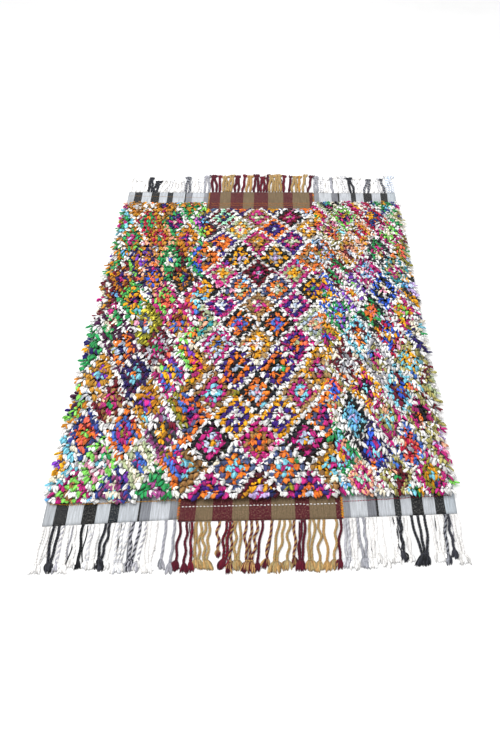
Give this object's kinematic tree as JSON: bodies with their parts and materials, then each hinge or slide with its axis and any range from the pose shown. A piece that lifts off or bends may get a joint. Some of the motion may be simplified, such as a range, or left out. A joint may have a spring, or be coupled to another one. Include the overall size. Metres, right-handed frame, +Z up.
{
  "type": "shaggy kilim rug",
  "caption": "Flat hand-knotted rug of sewn loom panels with a shaggy lozenge-patterned pile, bare striped woven ends and a knotted warp fringe.",
  "frame": {"origin": "on the floor, under the middle of the rug's outline with its fringes", "axes": "+X across the panels to the right, +Y along the rug to its far fringe, +Z up"},
  "size_m": [1.5278, 2.526, 0.026],
  "materials": {
    "striped_cloth_side": "flat-woven wool with white, grey and black warp stripes",
    "striped_cloth_centre": "flat-woven wool with burgundy and khaki warp stripes",
    "pile": "soft shaggy wool tufts in white-outlined lozenges of many colours",
    "fringe_side": "twisted white, grey and black yarn",
    "fringe_centre": "twisted burgundy and tan yarn"
  },
  "bodies": {
    "root": {"ground_left": "striped_cloth_side", "ground_centre": "striped_cloth_centre", "ground_right": "striped_cloth_side", "pile_left": "pile", "pile_centre": "pile", "pile_right": "pile", "fringe_left_near": "fringe_side", "fringe_centre_near": "fringe_centre", "fringe_right_near": "fringe_side", "fringe_left_far": "fringe_side", "fringe_centre_far": "fringe_centre", "fringe_right_far": "fringe_side"}
  },
  "joints": []
}
